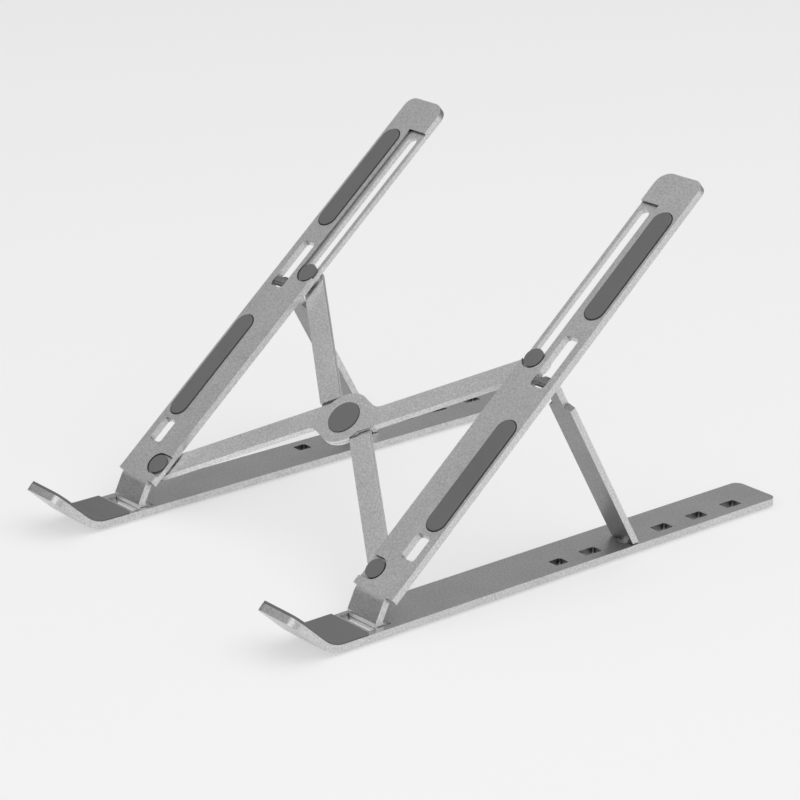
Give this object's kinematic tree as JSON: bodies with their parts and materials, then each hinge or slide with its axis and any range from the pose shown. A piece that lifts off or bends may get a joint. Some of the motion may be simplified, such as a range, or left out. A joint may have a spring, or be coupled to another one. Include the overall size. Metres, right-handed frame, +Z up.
{
  "type": "folding laptop stand",
  "caption": "Folding aluminium laptop stand with padded top rails hinged to base rails, folding legs in stop holes, and crossed sliding bars.",
  "frame": {"origin": "centre of the open stand's outline on the desk, at the underside of the feet", "axes": "+X to the right for someone facing the lips, +Y from the lips to the rear, +Z up"},
  "size_m": [0.1698, 0.2422, 0.1413],
  "materials": {
    "rail_aluminium": "fine bead-blasted anodised, bright cut edges",
    "leg_aluminium": "fine bead-blasted anodised",
    "bar_aluminium": "fine bead-blasted anodised",
    "pin_steel": "satin",
    "lip_rubber": "matte",
    "pad_rubber": "matte",
    "foot_rubber": "matte",
    "cap_rubber": "matte"
  },
  "bodies": {
    "base_left": {"base_rail_left": "rail_aluminium", "lip_pad_left": "lip_rubber", "foot_front_left": "foot_rubber", "foot_rear_left": "foot_rubber", "tilt_hinge_pin_left": "pin_steel"},
    "rail_left": {"top_rail_left": "rail_aluminium", "pad_front_left": "pad_rubber", "pad_rear_left": "pad_rubber", "leg_hinge_pin_left": "pin_steel"},
    "leg_left": {"support_leg_left": "leg_aluminium"},
    "bar_a": {"x_bar_upper": "bar_aluminium", "center_rivet": "pin_steel", "center_cap": "cap_rubber", "center_washer": "pin_steel", "front_rivet_left": "pin_steel", "front_cap_left": "cap_rubber", "front_washer_left": "pin_steel", "slider_rivet_right": "pin_steel", "slider_cap_right": "cap_rubber", "slider_washer_right": "pin_steel"},
    "bar_b": {"x_bar_lower": "bar_aluminium", "front_rivet_right": "pin_steel", "front_cap_right": "cap_rubber", "front_washer_right": "pin_steel", "slider_rivet_left": "pin_steel", "slider_cap_left": "cap_rubber", "slider_washer_left": "pin_steel"},
    "rail_right": {"top_rail_right": "rail_aluminium", "pad_front_right": "pad_rubber", "pad_rear_right": "pad_rubber", "leg_hinge_pin_right": "pin_steel"},
    "leg_right": {"support_leg_right": "leg_aluminium"},
    "base_right": {"base_rail_right": "rail_aluminium", "lip_pad_right": "lip_rubber", "foot_front_right": "foot_rubber", "foot_rear_right": "foot_rubber", "tilt_hinge_pin_right": "pin_steel"}
  },
  "joints": [
    {"name": "tilt_left", "type": "hinge", "parent": "base_left", "child": "rail_left", "pos_m": [-0.07388, -0.07824, 0.0025], "axis": [1, 0, 0], "range_deg": [0, 57.3]},
    {"name": "leg_fold_left", "type": "hinge", "parent": "rail_left", "child": "leg_left", "pos_m": [-0.07814, 0.00012, 0.07709], "axis": [-1, 0, 0], "range_deg": [0, 78.55]},
    {"name": "bars_fold", "type": "hinge", "parent": "rail_left", "child": "bar_a", "pos_m": [-0.06744, -0.07028, 0.01972], "axis": [0, -0.6461, 0.7632], "range_deg": [0, 50.5]},
    {"name": "bars_cross", "type": "hinge", "parent": "bar_a", "child": "bar_b", "pos_m": [0, -0.03267, 0.05156], "axis": [0, -0.6461, 0.7632], "range_deg": [-101, 0]},
    {"name": "bars_right", "type": "hinge", "parent": "bar_b", "child": "rail_right", "pos_m": [0.06744, -0.07028, 0.01972], "axis": [0, -0.6461, 0.7632], "range_deg": [0, 50.5]},
    {"name": "tilt_right", "type": "hinge", "parent": "rail_right", "child": "base_right", "pos_m": [0.07388, -0.07824, 0.0025], "axis": [-1, 0, 0], "range_deg": [0, 57.3]},
    {"name": "leg_fold_right", "type": "hinge", "parent": "rail_right", "child": "leg_right", "pos_m": [0.07814, 0.00012, 0.07709], "axis": [-1, 0, 0], "range_deg": [0, 78.55]}
  ],
  "couplings": [
    {"joint": "leg_fold_left", "follows": "tilt_left", "ratio": 1.37},
    {"joint": "bars_cross", "follows": "bars_fold", "ratio": -2},
    {"joint": "bars_right", "follows": "bars_fold", "ratio": 1},
    {"joint": "leg_fold_right", "follows": "tilt_right", "ratio": 1.37}
  ]
}
